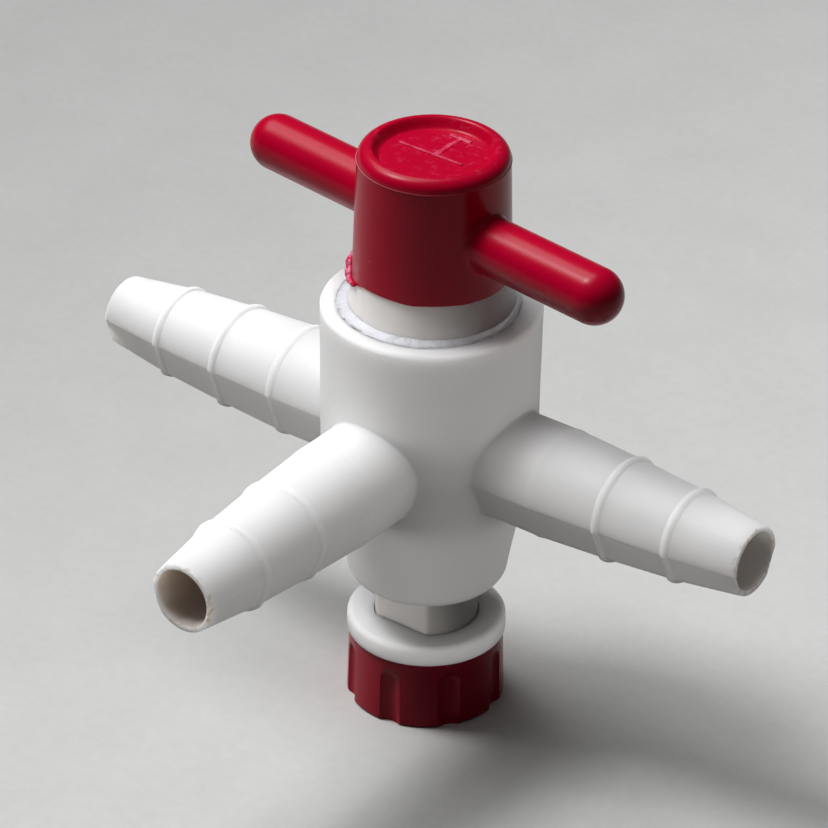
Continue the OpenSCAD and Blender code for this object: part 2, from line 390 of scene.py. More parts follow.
def port_outline(rises):
    """Outline of a port from its shank to its tip, with beads of these heights from the tip inwards."""
    outline = [(cone_radius(shank), shank)]
    for crest, rise in reversed(list(zip(crests, rises))):
        for i in range(-bead_steps, bead_steps + 1):
            s = crest + i / bead_steps * (bead_back if i < 0 else bead_fore)
            outline.append((cone_radius(s) + rise * (1 - (i / bead_steps) ** 2), s))
    tip_edge = (cone_radius(tip_s) - tip_round, tip_s - tip_round)
    return outline + rounded(*tip_edge, tip_round, 0, 90, 3)


print("port outline of", len(port_outline((0, 0, 0))), "points")

# %% [markdown]
# The ports were moulded in two halves that did not quite match: below a sharp crease on each side the
# surface is a flat cheek, set back a little. The chord of a cheek is pressed flat in the first ring by
# scaling its points to nothing across the chord, so every later ring has the cheek too. The points are
# stretched a little along the chord, so that they crowd to the crease and keep it sharp.

# %% Cheek helpers
ring_step = 2
ring_points = 360 // ring_step


def select_where(wanted):
    """Selects only the points of the mesh in edit mode that pass a test of their place."""
    bpy.ops.mesh.select_all(action="DESELECT")
    mesh = bmesh.from_edit_mesh(bpy.context.object.data)
    for point in mesh.verts:
        point.select_set(wanted(point.co))
    mesh.select_flush(True)
    bmesh.update_edit_mesh(bpy.context.object.data)


def press_cheek(radius, height, middle, span, ledge, fullness):
    """Flattens the ring's points in a span of degrees about a middle angle, set in by a ledge."""
    across = Vector((cos(radians(middle)), sin(radians(middle)), 0))
    along = Vector((-across.y, across.x, 0))
    chord = radius * cos(radians(span / 2))
    select_where(lambda p: p.dot(across) > chord + 0.01 * MM)
    stretch = 0.985 * sin(radians(span / 2)) / sin(radians(span / 2 - ring_step))
    axes = (tuple(across), tuple(along), (0, 0, 1))
    middle_point = across * (chord - ledge) + Vector((0, 0, height))
    bpy.ops.transform.resize(value=(fullness, stretch, 1), orient_type="GLOBAL", orient_matrix=axes,
                             orient_matrix_type="GLOBAL", center_override=tuple(middle_point))


print("rings of", ring_points, "points")

# %% [markdown]
# A moulded shaft never meets a wall in a bare corner: its foot spreads in a small fillet. A bevel along a
# boolean's ragged edge fails easily, so the rings of the fillet are drawn with the shaft, and a Shrinkwrap
# lays each one on the wall, a little lifted, before the two are joined.

# %% Fillet helpers
def fillet_rings(radius, fillet):
    """Radii and lifts of a fillet's rings, from just under a surface to the shaft that stands on it."""
    turns = [radians(t) for t in (15, 30, 45, 60, 75, 90)]
    rings = [(radius + 1.3 * fillet, -0.12 * fillet)]
    return rings + [(radius + fillet * (1 - sin(t)), fillet * (1 - cos(t))) for t in turns]


def mark_rings(heights):
    """Names the rings at these heights, so that a modifier can find each one."""
    piece = bpy.context.object
    for i, height in enumerate(heights):
        select_where(lambda p: abs(p.z - height) < 0.01 * MM)
        bpy.ops.object.vertex_group_add()
        piece.vertex_groups.active.name = f"foot_{i}"
        bpy.ops.object.vertex_group_assign()


def lay_on(piece, target, group, lift, axis):
    """Slides a group of points along an axis until they lie on another piece, lifted a little."""
    wrap = piece.modifiers.new(group, "SHRINKWRAP")
    wrap.target = target
    wrap.vertex_group = group
    wrap.wrap_method = "PROJECT"
    wrap.use_project_x = axis == "X"
    wrap.use_project_y = axis == "Y"
    wrap.use_project_z = False
    wrap.use_positive_direction = True
    wrap.use_negative_direction = True
    wrap.offset = lift
    bpy.ops.object.modifier_apply(modifier=wrap.name)


print("a fillet has", len(fillet_rings(1, 1)), "rings")

# %% [markdown]
# Pieces that were moulded in one are joined by a boolean, so that they share one skin. Afterwards a piece
# is shaded smooth but for its sharp edges, and a Weighted Normal modifier keeps its broad faces calm where
# the boolean left small ones.

# %% Joining and shading helpers
def make_active(piece):
    """Selects one piece alone."""
    bpy.ops.object.select_all(action="DESELECT")
    piece.select_set(True)
    bpy.context.view_layer.objects.active = piece


def combine(piece, tool, operation):
    """Joins a tool to a piece or cuts it away, and removes the tool."""
    make_active(piece)
    change = piece.modifiers.new(operation.lower(), "BOOLEAN")
    change.operation = operation
    change.solver = "EXACT"
    change.object = tool
    bpy.ops.object.modifier_apply(modifier=change.name)
    bpy.data.objects.remove(tool)


def merge_doubles(piece):
    """Merges the doubled points that a boolean leaves where edges met."""
    make_active(piece)
    bpy.ops.object.mode_set(mode="EDIT")
    finish_mesh()


def soften(piece, angle):
    """Shades a piece smooth but for its sharp edges, and lets its broad faces lead at the joins."""
    make_active(piece)
    bpy.ops.object.shade_smooth_by_angle(angle=radians(angle))
    lead = piece.modifiers.new("broad_faces_lead", "WEIGHTED_NORMAL")
    lead.keep_sharp = True
    lead.weight = 80
    bpy.ops.object.modifier_apply(modifier=lead.name)


print("joining helpers ready")

# %% [markdown]
# Now the three ports are drawn upright, with the lower side towards +X, and laid along their directions.
# They came out of one mould but aren't alike: the beads are worn to different heights, and the front port
# has a rounder cheek. The rings of the foot are parked at heights of their own until they are laid on the
# barrel, so that each can be found.

# %% Ports
port_fillet = 0.25 * MM
port_foot = fillet_rings(port_base_r, port_fillet)
park_gap = 2 * MM
park_step = 0.2 * MM


def hose_port(name, turn, crease, span, ledge, fullness, rises):
    """One hose port, laid along its own direction with its foot on the barrel."""
    port = start_ring(name, port_base_r, port_root, ring_points, True)
    for side in (-1, 1):
        press_cheek(port_base_r, port_root, side * (90 - crease - span / 2), span, ledge, fullness)
    bpy.ops.mesh.select_all(action="SELECT")
    heights = [shank - park_gap + i * park_step for i in range(len(port_foot))]
    foot = [(r, height) for (r, lift), height in zip(port_foot, heights)]
    draw_along([(port_base_r, port_root)] + foot + port_outline(rises))
    mark_rings(heights)
    finish_mesh()
    port.location.z = port_z
    port.rotation_euler = (0, pi / 2, radians(turn))
    bpy.ops.object.transform_apply(location=True, rotation=True, scale=True)
    for i, (r, lift) in enumerate(port_foot):
        lay_on(port, tap_body, f"foot_{i}", lift, "X" if turn % 180 == 0 else "Y")
    return port


right_port = hose_port("right_port", turn=0, crease=2, span=44, ledge=0.13 * MM, fullness=0,
                       rises=(0.36 * MM, 0.36 * MM, 0.07 * MM))
left_port = hose_port("left_port", turn=180, crease=-6, span=52, ledge=0.06 * MM, fullness=0,
                      rises=(0.32 * MM, 0.38 * MM, 0.24 * MM))
front_port = hose_port("front_port", turn=-90, crease=-6, span=52, ledge=0, fullness=0.6,
                       rises=(0.34 * MM, 0.24 * MM, 0.03 * MM))
for port in (right_port, left_port, front_port):
    combine(tap_body, port, "UNION")
print("body with ports of", len(tap_body.data.polygons), "faces")

# %% [markdown]
# The ways are bored last. Each is narrow at the plug, wider along the port, and flares at the lip, where
# the wall thins to a burr. The flat ring at the lip is made again by a bridge between its two edges,
# because the boolean leaves one large face there. The lip's points are then nudged by about a hundredth
# of a millimetre, so that its edge catches the light unevenly.

# %% Ways through the ports
way_r = mounts["right_way"]["dims"]["r_mm"] * MM
plug_way_r = 3 * MM
throat_s = 13.6 * MM
lip_flare = 0.12 * MM
lip_depth = 0.8 * MM
way_start = 5 * MM
past_tip = 1 * MM
at_lip = tip_s - 0.005 * MM
near_lip = tip_s - 0.13 * MM
flare_end = way_r + lip_flare * (1 + past_tip / lip_depth)
way_outline = [(plug_way_r, way_start), (plug_way_r, throat_s), (way_r, throat_s),
               (way_r, port_reach - lip_depth), (flare_end, port_reach + past_tip)]
for turn in (0, 180, -90):
    way = lathe("way", way_outline, ring_points)
    way.location.z = port_z
    way.rotation_euler = (0, pi / 2, radians(turn))
    bpy.ops.object.transform_apply(location=True, rotation=True, scale=True)
    combine(tap_body, way, "DIFFERENCE")
bpy.ops.object.mode_set(mode="EDIT")
for out in (Vector((1, 0, 0)), Vector((-1, 0, 0)), Vector((0, -1, 0))):
    select_where(lambda p: p.dot(out) > at_lip)
    bpy.ops.mesh.delete(type="FACE")
    select_where(lambda p: p.dot(out) > at_lip)
    bpy.ops.mesh.bridge_edge_loops()
    select_where(lambda p: p.dot(out) > near_lip)
    bpy.ops.transform.vertex_random(offset=0.012 * MM, seed=4)
finish_mesh()
soften(tap_body, 32)
print("body finished with", len(tap_body.data.polygons), "faces")

# %% [markdown]
# The plug is a tapered key. A neck stands above the barrel, a keyed spigot goes up into the handle, and a
# tail with one flat side hangs below. The flats are pressed into the drawn piece by scaling points to a
# plane. The T-shaped way is cut with one long rod and one short one, a hair thinner, because two rods of
# the same size would touch along a line and confuse the boolean.

# %% Plug
tail_r = 6.05 * MM
tail_flat = 4.9 * MM
tail_chamfer = 0.7 * MM
neck_z = barrel_top_z + 0.3 * MM
neck_lip = 0.12 * MM
neck_top_r = 8.9 * MM
spigot_r = 6.2 * MM
spigot_flat = 5 * MM
hub_foot_z = handle_low.z
shoulder = 0.02 * MM
taper = (plug_top_r - plug_foot_r) / (barrel_top_z - barrel_foot_z)
neck_seat_r = plug_top_r + taper * (neck_z - barrel_top_z)

plug_outline = [
    (tail_r - tail_chamfer, plug_low.z),
    (tail_r, plug_low.z + tail_chamfer),
    (tail_r, barrel_foot_z - shoulder),
    (tail_r, barrel_foot_z),
    (plug_foot_r, barrel_foot_z),
    (neck_seat_r, neck_z),
    (neck_seat_r + neck_lip, neck_z),
    (neck_top_r, hub_foot_z),
    (spigot_r, hub_foot_z),
    (spigot_r, plug_high.z),
]
tap_plug = lathe("tap_plug", plug_outline, 128)
bpy.ops.object.mode_set(mode="EDIT")
select_where(lambda p: p.z < barrel_foot_z - shoulder / 2 and p.y < -tail_flat)
bpy.ops.transform.resize(value=(1, 0, 1), center_override=(0, -tail_flat, 0))
for side in (-1, 1):
    select_where(lambda p: p.z > hub_foot_z - shoulder and p.xy.length < neck_top_r - shoulder
                 and side * p.y > spigot_flat)
    bpy.ops.transform.resize(value=(1, 0, 1), center_override=(0, side * spigot_flat, 0))
finish_mesh()
rod_end = 11 * MM
side_way_r = plug_way_r - 0.05 * MM
side_way_start = 0.5 * MM
for turn, rod_r, rod_start in ((0, plug_way_r, -rod_end), (90, side_way_r, side_way_start)):
    rod = lathe("rod", [(rod_r, rod_start), (rod_r, rod_end)], 96)
    rod.location.z = port_z
    rod.rotation_euler = (0, pi / 2, radians(turn))
    bpy.ops.object.transform_apply(location=True, rotation=True, scale=True)
    combine(tap_plug, rod, "DIFFERENCE")
merge_doubles(tap_plug)
soften(tap_plug, 40)
print("plug of", len(tap_plug.data.polygons), "faces")

# %% [markdown]
# The handle's hub is a slightly tapered drum with a rounded rim, a fine mould line below the rim and a
# dish in its top. The dish's wall follows a cosine, so it runs into rim and floor without an edge. The
# hub's foot was trimmed by hand after moulding, in two straight cuts that leave corners. A tilted block,
# taken away by a boolean, stands for the knife.

# %% Hub
block_side = 40 * MM


def cut(piece, point, facing):
    """Cuts away all of a piece that lies beyond a plane through a point."""
    facing = facing.normalized()
    bpy.ops.object.select_all(action="DESELECT")
    bpy.ops.mesh.primitive_cube_add(size=block_side)
    block = bpy.context.object
    block.rotation_euler = facing.to_track_quat("Z", "Y").to_euler()
    block.location = point + facing * block_side / 2
    bpy.ops.object.transform_apply(location=True, rotation=True, scale=True)
    combine(piece, block, "DIFFERENCE")


hub_foot_r = 9.15 * MM
hub_top_r = 8.75 * MM
hub_top_z = handle_high.z
rim_round = 1.5 * MM
rim_r = hub_top_r - rim_round
rim_z = hub_top_z - rim_round
dish_w = 1.1 * MM
dish_r = rim_r - dish_w
dish_depth = 1.15 * MM
dish_steps = 12
recess_z = hub_top_z - dish_depth
edge_round = 0.12 * MM
mould_line = 0.07 * MM
hub_outline = rounded(hub_foot_r - edge_round, hub_foot_z + edge_round, edge_round, -90, 0, 6)
hub_outline += [(hub_top_r, rim_z - 2 * mould_line), (hub_top_r + mould_line, rim_z - 0.5 * mould_line),
                (hub_top_r + mould_line, rim_z)]
hub_outline += rounded(rim_r, rim_z, rim_round, 0, 90, 10)
for i in range(1, dish_steps + 1):
    fall = (1 - cos(pi * i / dish_steps)) / 2
    hub_outline.append((rim_r - dish_w * i / dish_steps, hub_top_z - dish_depth * fall))
tap_handle = lathe("tap_handle", hub_outline)
trim_corners = (-112, -69, -28)
trim_tilt = radians(72)
for first, last in zip(trim_corners, trim_corners[1:]):
    out = towards((first + last) / 2, 0)
    chord = hub_foot_r * cos(radians((last - first) / 2))
    knife = out * cos(trim_tilt) - Vector((0, 0, sin(trim_tilt)))
    cut(tap_handle, out * chord + Vector((0, 0, hub_foot_z)), knife)
print("hub of", len(tap_handle.data.polygons), "faces")

# %% [markdown]
# The two arms are round bars with domed ends. Each foot spreads into the hub in a small fillet, as the
# ports' feet do, so both are laid along X first and then turned to the handle's angle. The socket for the
# plug's spigot is cut last.

# %% Arms and socket
arm_r = 3.35 * MM
arm_reach = 28.2 * MM
arm_z = hub_foot_z + 6.6 * MM
arm_angle = -7.3
arm_fillet = 0.5 * MM
arm_root = 5 * MM
arm_shank = 12 * MM
arm_foot = fillet_rings(arm_r, arm_fillet)


def handle_arm(name, flip):
    """One arm of the handle, with its foot on the hub, towards +X or -X before the handle's turn."""
    arm = start_ring(name, arm_r, arm_root, 96, True)
    heights = [arm_shank - park_gap + i * park_step for i in range(len(arm_foot))]
    foot = [(r, height) for (r, lift), height in zip(arm_foot, heights)]
    dome = rounded(0, arm_reach - arm_r, arm_r, 0, 88, 14)
    draw_along([(arm_r, arm_root)] + foot + [(arm_r, arm_shank)] + dome)
    mark_rings(heights)
    finish_mesh()
    arm.location.z = arm_z
    arm.rotation_euler = (0, pi / 2, flip)
    bpy.ops.object.transform_apply(location=True, rotation=True, scale=True)
    for i, (r, lift) in enumerate(arm_foot):
        lay_on(arm, tap_handle, f"foot_{i}", lift, "X")
    arm.rotation_euler.z = radians(arm_angle)
    bpy.ops.object.transform_apply(location=True, rotation=True, scale=True)
    return arm


arms = [handle_arm("right_arm", 0), handle_arm("left_arm", pi)]
for arm in arms:
    combine(tap_handle, arm, "UNION")
spigot_gap = 0.04 * MM
socket_top = plug_high.z + spigot_gap
socket_r = spigot_r + spigot_gap
socket = lathe("socket", [(socket_r, hub_foot_z - MM), (socket_r, socket_top)], 128)
bpy.ops.object.mode_set(mode="EDIT")
for side in (-1, 1):
    flat_y = side * (spigot_flat + spigot_gap)
    select_where(lambda p: side * p.y > abs(flat_y))
    bpy.ops.transform.resize(value=(1, 0, 1), center_override=(0, flat_y, 0))
finish_mesh()
combine(tap_handle, socket, "DIFFERENCE")
print("handle of", len(tap_handle.data.polygons), "faces")

# %% [markdown]
# A plain T in the dish shows which ways the plug joins: a long crisp bar along the through way, and a low,
# worn stem with a short foot. Each stroke is a bar with a narrowed top and a slightly uneven edge. It is
# sunk into the floor, so that the join leaves no gap.

# %% Way mark
mark_sunk = 0.25 * MM


def add_stroke(start, end, width, rise, seed, rough):
    """Joins a raised bar to the floor of the dish, between two points in plan."""
    run = Vector(end) - Vector(start)
    bpy.ops.object.select_all(action="DESELECT")
    bpy.ops.mesh.primitive_cube_add(size=1)
    stroke = bpy.context.object
    stroke.scale = (run.length, width, rise + mark_sunk)
    stroke.rotation_euler.z = atan2(run.y, run.x)
    middle = (Vector(start) + Vector(end)) / 2
    stroke.location = (middle.x, middle.y, recess_z + (rise - mark_sunk) / 2)
    bpy.ops.object.transform_apply(location=True, rotation=True, scale=True)
    bpy.ops.object.mode_set(mode="EDIT")
    bpy.ops.mesh.select_all(action="SELECT")
    bpy.ops.mesh.subdivide(number_cuts=5)
    select_where(lambda p: p.z > recess_z + 0.9 * rise)
    along = run.normalized()
    axes = ((along.x, along.y, 0), (-along.y, along.x, 0), (0, 0, 1))
    bpy.ops.transform.resize(value=(1, 0.7, 1), orient_type="GLOBAL", orient_matrix=axes,
                             orient_matrix_type="GLOBAL", center_override=(middle.x, middle.y, 0))
    bpy.ops.mesh.select_all(action="SELECT")
    bpy.ops.transform.vertex_random(offset=rough, seed=seed)
    finish_mesh()
    combine(tap_handle, stroke, "UNION")


add_stroke((-4.84 * MM, 0), (3.88 * MM, 0), width=0.36 * MM, rise=0.16 * MM, seed=1, rough=0.012 * MM)
add_stroke((0, 0.05 * MM), (0, 4.95 * MM), width=0.85 * MM, rise=0.07 * MM, seed=2, rough=0.02 * MM)
add_stroke((-1.4 * MM, 5.08 * MM), (1.5 * MM, 4.9 * MM), width=0.5 * MM, rise=0.11 * MM, seed=3,
           rough=0.02 * MM)
print("marked handle of", len(tap_handle.data.polygons), "faces")

# %% [markdown]
# At the far left the trimming stopped, and a skirt of the untrimmed foot hangs down. It is a thin tube
# under the hub, cut by two planes to a wedge that is thin at the last trim and thick at its other end.

# %% Untrimmed skirt
skirt_h = 1.9 * MM
skirt_in_r = hub_foot_r - 0.25 * MM
skirt_out_r = hub_foot_r + 0.12 * MM
skirt_top_r = hub_foot_r - 0.03 * MM
skirt_top_z = hub_foot_z + 0.4 * MM
skirt_low_z = hub_foot_z - skirt_h
skirt_outline = [(skirt_in_r, skirt_low_z), (skirt_out_r, skirt_low_z), (skirt_top_r, skirt_top_z),
                 (skirt_in_r, skirt_top_z), (skirt_in_r, skirt_low_z)]
skirt = lathe("skirt", skirt_outline, filled=False)
thin_end = towards(trim_corners[0], 0) * hub_foot_r
thick_angle = -146
thick_end = towards(thick_angle, 0) * hub_foot_r
run = thick_end - thin_end
slope = Vector((-run.x, -run.y, -run.length * run.length / skirt_h))
cut(skirt, thin_end + Vector((0, 0, hub_foot_z)), slope)
side_angle = -157
cut(skirt, towards(side_angle, 0) * hub_foot_r, towards(side_angle - 90, 0))
combine(tap_handle, skirt, "UNION")
merge_doubles(tap_handle)
print("skirt joined to the handle")

# %% [markdown]
# Along the skirt's edge lies a roll of flash, where plastic crept out of the mould. It is a row of small
# balls that shrink and grow along a path. A voxel Remesh draws one skin over them, which joins them far
# better than a row of booleans would, and it is smoothed and made uneven before it is joined to the hub.

# %% Roll of flash
flash_r = hub_foot_r + 0.2 * MM
# Each stop has an angle in degrees, a lift above the hub's foot and a ball's radius, both in millimetres.
flash_path = ((-158, 0.4, 0.36), (-151, -0.1, 0.58), (-145.5, -0.85, 0.58), (-140, -1.3, 0.44),
              (-132, -1.05, 0.32), (-122, -0.55, 0.2))
ball_steps = 4
stops = []
for first, last in zip(flash_path, flash_path[1:]):
    stops += [[a + (b - a) * i / ball_steps for a, b in zip(first, last)] for i in range(ball_steps)]
balls = []
for i, (angle, lift, size) in enumerate(stops):
    bpy.ops.object.select_all(action="DESELECT")
    place = (flash_r * cos(radians(angle)), flash_r * sin(radians(angle)), hub_foot_z + lift * MM)
    ball_r = size * (1 + 0.12 * sin(5 * i)) * MM
    bpy.ops.mesh.primitive_ico_sphere_add(subdivisions=3, radius=ball_r, location=place)
    balls.append(bpy.context.object)
bpy.ops.object.select_all(action="DESELECT")
for ball in balls:
    ball.select_set(True)
bpy.ops.object.join()
flash = bpy.context.object
bpy.ops.object.transform_apply(location=True, rotation=True, scale=True)
skin = flash.modifiers.new("one_skin", "REMESH")
skin.mode = "VOXEL"
skin.voxel_size = 0.1 * MM
bpy.ops.object.modifier_apply(modifier=skin.name)
bpy.ops.object.mode_set(mode="EDIT")
bpy.ops.mesh.select_all(action="SELECT")
bpy.ops.mesh.vertices_smooth(factor=0.5, repeat=2)
bpy.ops.transform.vertex_random(offset=0.02 * MM, seed=8)
finish_mesh()
combine(tap_handle, flash, "UNION")
merge_doubles(tap_handle)
soften(tap_handle, 18)
print("handle with flash of", len(tap_handle.data.polygons), "faces")

# %% [markdown]
# Tap grease has squeezed out of the seat and dried in a low, uneven ring where the neck goes into the
# barrel. It is a small closed tube that climbs the neck. Its outer points are shifted to the side where
# more came out, pushed about at random and smoothed, so it looks poured, and its foot is pressed flat.

# %% Grease ring
grease_in_r = neck_seat_r + neck_lip + 0.04 * MM
grease_w = 1.1 * MM
grease_h = 0.5 * MM
grease_z = barrel_top_z + 0.01 * MM
grease_lean = (neck_seat_r + neck_lip - neck_top_r) / (hub_foot_z - neck_z)
grease_outline = [(grease_in_r, grease_z), (grease_in_r + grease_w, grease_z)]
grease_outline += [(grease_in_r + grease_w * (1 - t), grease_z + grease_h * (0.08 + 0.92 * t ** 2.2))
                   for t in (0.05, 0.25, 0.45, 0.65, 0.82)]
grease_outline += [(grease_in_r - grease_lean * grease_h, grease_z + grease_h), (grease_in_r, grease_z)]
grease_ring = lathe("grease_ring", grease_outline, 300, filled=False)
bpy.ops.object.mode_set(mode="EDIT")
select_where(lambda p: p.xy.length > grease_in_r + 0.3 * grease_w)
bpy.ops.transform.translate(value=(-0.28 * MM, -0.22 * MM, 0))
select_where(lambda p: p.xy.length > grease_in_r + 0.1 * MM)
bpy.ops.transform.vertex_random(offset=0.32 * MM, seed=12)
bpy.ops.mesh.vertices_smooth(factor=0.5, repeat=3)
select_where(lambda p: p.z < grease_z + 0.02 * MM)
bpy.ops.transform.resize(value=(1, 1, 0), center_override=(0, 0, grease_z))
finish_mesh()
soften(grease_ring, 60)
print("grease ring of", len(grease_ring.data.polygons), "faces")

# %% [markdown]
# The washer is a thick ring with a well rounded upper edge. Its D-shaped hole fits the flat of the tail,
# so it slides but cannot turn, and the nut can be tightened without dragging the plug round. The hole is
# drawn round with the rest, and its flat is pressed in afterwards, as on the plug.

# %% Washer
washer_r = washer_high.x
washer_round = 0.7 * MM
washer_foot_round = 0.3 * MM
washer_play = 0.15 * MM
hole_r = tail_r + washer_play
hole_flat = tail_flat + washer_play
foot_corner = (washer_r - washer_foot_round, washer_low.z + washer_foot_round)
washer_outline = [(hole_r, washer_low.z)] + rounded(*foot_corner, washer_foot_round, -90, 0, 4)
washer_outline += rounded(washer_r - washer_round, washer_high.z - washer_round, washer_round, 0, 90, 8)
washer_outline += rounded(hole_r + edge_round, washer_high.z - edge_round, edge_round, 90, 180, 3)
washer_outline += washer_outline[:1]
tap_washer = lathe("tap_washer", washer_outline, filled=False)
bpy.ops.object.mode_set(mode="EDIT")
select_where(lambda p: p.xy.length < hole_r + 2 * edge_round and p.y < -hole_flat)
bpy.ops.transform.resize(value=(1, 0, 1), center_override=(0, -hole_flat, 0))
finish_mesh()
soften(tap_washer, 32)
print("washer of", len(tap_washer.data.polygons), "faces")

# %% [markdown]
# The thumb nut is a red moulding with a rounded foot and a hole that clears the tail. It is drawn like the
# barrel, out along the foot, up the side and back down the hole.

# %% Nut
nut_foot_r = 9.3 * MM
nut_top_r = 9.1 * MM
nut_round = 0.4 * MM
nut_hole_r = tail_r + 0.05 * MM
nut_h = nut_high.z
nut_outline = [(nut_hole_r, 0)]
nut_outline += rounded(nut_foot_r - nut_round, nut_round, nut_round, -90, 0, 5)
nut_outline += rounded(nut_top_r - edge_round, nut_h - edge_round, edge_round, 0, 90, 3)
nut_outline += [(nut_hole_r, nut_h)] + nut_outline[:1]
tap_nut = lathe("tap_nut", nut_outline, filled=False)
print("plain nut of", len(tap_nut.data.polygons), "faces")

# %% [markdown]
# Eight finger flutes run up its side and end under a plain collar. One flute cutter, a round-ended rod that
# leans with the nut's side, is modelled, copied round and cut away. A narrow bevel then wears the edges.

# %% Flutes
flutes = 8
flute_r = 2 * MM
flute_depth = 0.6 * MM
flute_angle = 9.5
collar_h = 1.1 * MM
dome_z = nut_h - collar_h - sqrt(flute_r ** 2 - (flute_r - flute_depth) ** 2)
lean = atan((nut_foot_r - nut_top_r) / nut_h)
flute_outline = [(flute_r, -2 * MM)] + rounded(0, dome_z, flute_r, 0, 88, 12)
cutter = lathe("flute_cutter", flute_outline, 72)
cutter.location.x = nut_foot_r - flute_depth + flute_r
cutter.rotation_euler.y = -lean
bpy.ops.object.transform_apply(location=True, rotation=True, scale=True)
cutter.rotation_euler.z = radians(flute_angle)
bpy.ops.object.transform_apply(location=True, rotation=True, scale=True)
cutters = [cutter]
for i in range(1, flutes):
    make_active(cutter)
    bpy.ops.object.duplicate()
    turned_copy = bpy.context.object
    turned_copy.rotation_euler.z = 2 * pi * i / flutes
    bpy.ops.object.transform_apply(location=True, rotation=True, scale=True)
    cutters.append(turned_copy)
for flute_cut in cutters:
    combine(tap_nut, flute_cut, "DIFFERENCE")
merge_doubles(tap_nut)
worn = tap_nut.modifiers.new("worn_edges", "BEVEL")
worn.width = 0.14 * MM
worn.segments = 2
worn.limit_method = "ANGLE"
worn.angle_limit = radians(32)
bpy.ops.object.modifier_apply(modifier=worn.name)
merge_doubles(tap_nut)
soften(tap_nut, 40)
print("nut of", len(tap_nut.data.polygons), "faces")

# %% [markdown]
# The barrel and washer are white polypropylene, moulded with a matt skin. It is slightly waxy: light goes
# a little way in, so shaded sides stay soft. The insides of the ways are painted darker and browner, a
# painted shade for the hollows, and the right one is painted paler, a painted light where the lamp reaches
# in. The distance from each way's axis tells the inside from the outside.

# %% White polypropylene
# Matt and waxy: broad pale tones with hardly any highlight.
white_plastic, tree, shader, where = start_material(
    "white_polypropylene", IOR=1.49, Specular_IOR_Level=0.1, Subsurface_Weight=1.0,
    Subsurface_Scale=3.2 * MM, Subsurface_Radius=(1, 1, 0.95))
haze = add_node(tree, "TexNoise", {"Vector": where, "Scale": per(7), "Detail": 4.0})
tone = add_node(tree, "Mix", {"Factor": haze, 6: linear("#e5e5e6"), 7: linear("#dfdfdf")}, data_type="RGBA")
flat = add_node(tree, "VectorMath", {0: where, 1: (1, 1, 0)}, operation="MULTIPLY")
reach = add_node(tree, "VectorMath", {0: flat}, operation="LENGTH")
level = add_node(tree, "VectorMath", {0: where, 1: (0, 0, port_z)}, operation="SUBTRACT")
off_x = add_node(tree, "VectorMath", {0: level, 1: (0, 1, 1)}, operation="MULTIPLY")
off_y = add_node(tree, "VectorMath", {0: level, 1: (1, 0, 1)}, operation="MULTIPLY")
off_x = add_node(tree, "VectorMath", {0: off_x}, operation="LENGTH")
off_y = add_node(tree, "VectorMath", {0: off_y}, operation="LENGTH")
off_axis = add_node(tree, "Math", {0: off_x, 1: off_y}, operation="MINIMUM")
bored = add_node(tree, "MapRange",
                 {"Value": off_axis, "From Min": way_r + 0.05 * MM, "From Max": way_r + 0.25 * MM,
                  "To Min": 1.0, "To Max": 0.0})
outer = add_node(tree, "Math", {0: reach, 1: throat_s}, operation="GREATER_THAN")
inside = add_node(tree, "Math", {0: bored, 1: outer}, operation="MULTIPLY")
along = add_node(tree, "SeparateXYZ", {0: where}).outputs["X"]
# Painted shade and light: the ways are darker and browner inside, and the right one paler, where the lamp
# reaches in.
right_way_painted_light = add_node(tree, "MapRange", {"Value": along, "From Min": 16 * MM, "From Max": 20 * MM})
way_painted_shade = add_node(tree, "Mix", {"Factor": right_way_painted_light, 6: linear("#c6bab2"), 7: linear("#f3eae4")}, data_type="RGBA")
tone = add_node(tree, "Mix", {"Factor": inside, 6: tone, 7: way_painted_shade}, data_type="RGBA")
print("white plastic started")

# %% [markdown]
# Handling has left brownish specks on the lips of the ports. The skin's own grain is finer than a pixel,
# so it is drawn half a millimetre coarse, and weak, to break up the light a little.

# %% Lips and skin of the white plastic
specks = add_node(tree, "TexNoise", {"Vector": where, "Scale": per(0.9), "Detail": 3.0})
lip = add_node(tree, "MapRange",
               {"Value": reach, "From Min": port_reach - 0.5 * MM, "From Max": port_reach - 0.05 * MM})
stain = add_node(tree, "MapRange", {"Value": specks, "From Min": 0.5, "From Max": 0.72})
stain = add_node(tree, "Math", {0: lip, 1: stain}, operation="MULTIPLY")
tone = add_node(tree, "Mix", {"Factor": stain, 6: tone, 7: linear("#b3a48c")}, data_type="RGBA")
tree.links.new(tone.outputs[2], shader.inputs["Base Color"])
matt = add_node(tree, "MapRange", {"Value": haze, "To Min": 0.48, "To Max": 0.62})
tree.links.new(matt.outputs[0], shader.inputs["Roughness"])
grain = add_node(tree, "TexNoise", {"Vector": where, "Scale": per(0.5), "Detail": 3.0})
rough = add_node(tree, "Bump", {"Height": grain, "Strength": 0.12, "Distance": 0.05 * MM})
tree.links.new(rough.outputs[0], shader.inputs["Normal"])
for piece in (tap_body, tap_washer):
    wear_piece(piece, white_plastic)
print("white pieces painted")

# %% [markdown]
# The plug is a harder, ivory-tinted polyethylene. It was polished to turn in its seat, so it shines more
# than the barrel, and unevenly, because it is faintly greasy.

# %% Ivory plug
# Polished and a little warm: a smooth sheen that changes over a few millimetres.
ivory_plastic, tree, shader, where = start_material(
    "ivory_polyethylene", IOR=1.5, Subsurface_Weight=0.5, Subsurface_Scale=1.5 * MM,
    Subsurface_Radius=(1, 1, 0.95))
haze = add_node(tree, "TexNoise", {"Vector": where, "Scale": per(5), "Detail": 3.0})
tone = add_node(tree, "Mix", {"Factor": haze, 6: linear("#e4e1df"), 7: linear("#dbd8d5")}, data_type="RGBA")
tree.links.new(tone.outputs[2], shader.inputs["Base Color"])
gloss = add_node(tree, "MapRange", {"Value": haze, "To Min": 0.22, "To Max": 0.4})
tree.links.new(gloss.outputs[0], shader.inputs["Roughness"])
wear_piece(tap_plug, ivory_plastic)
print("plug painted")
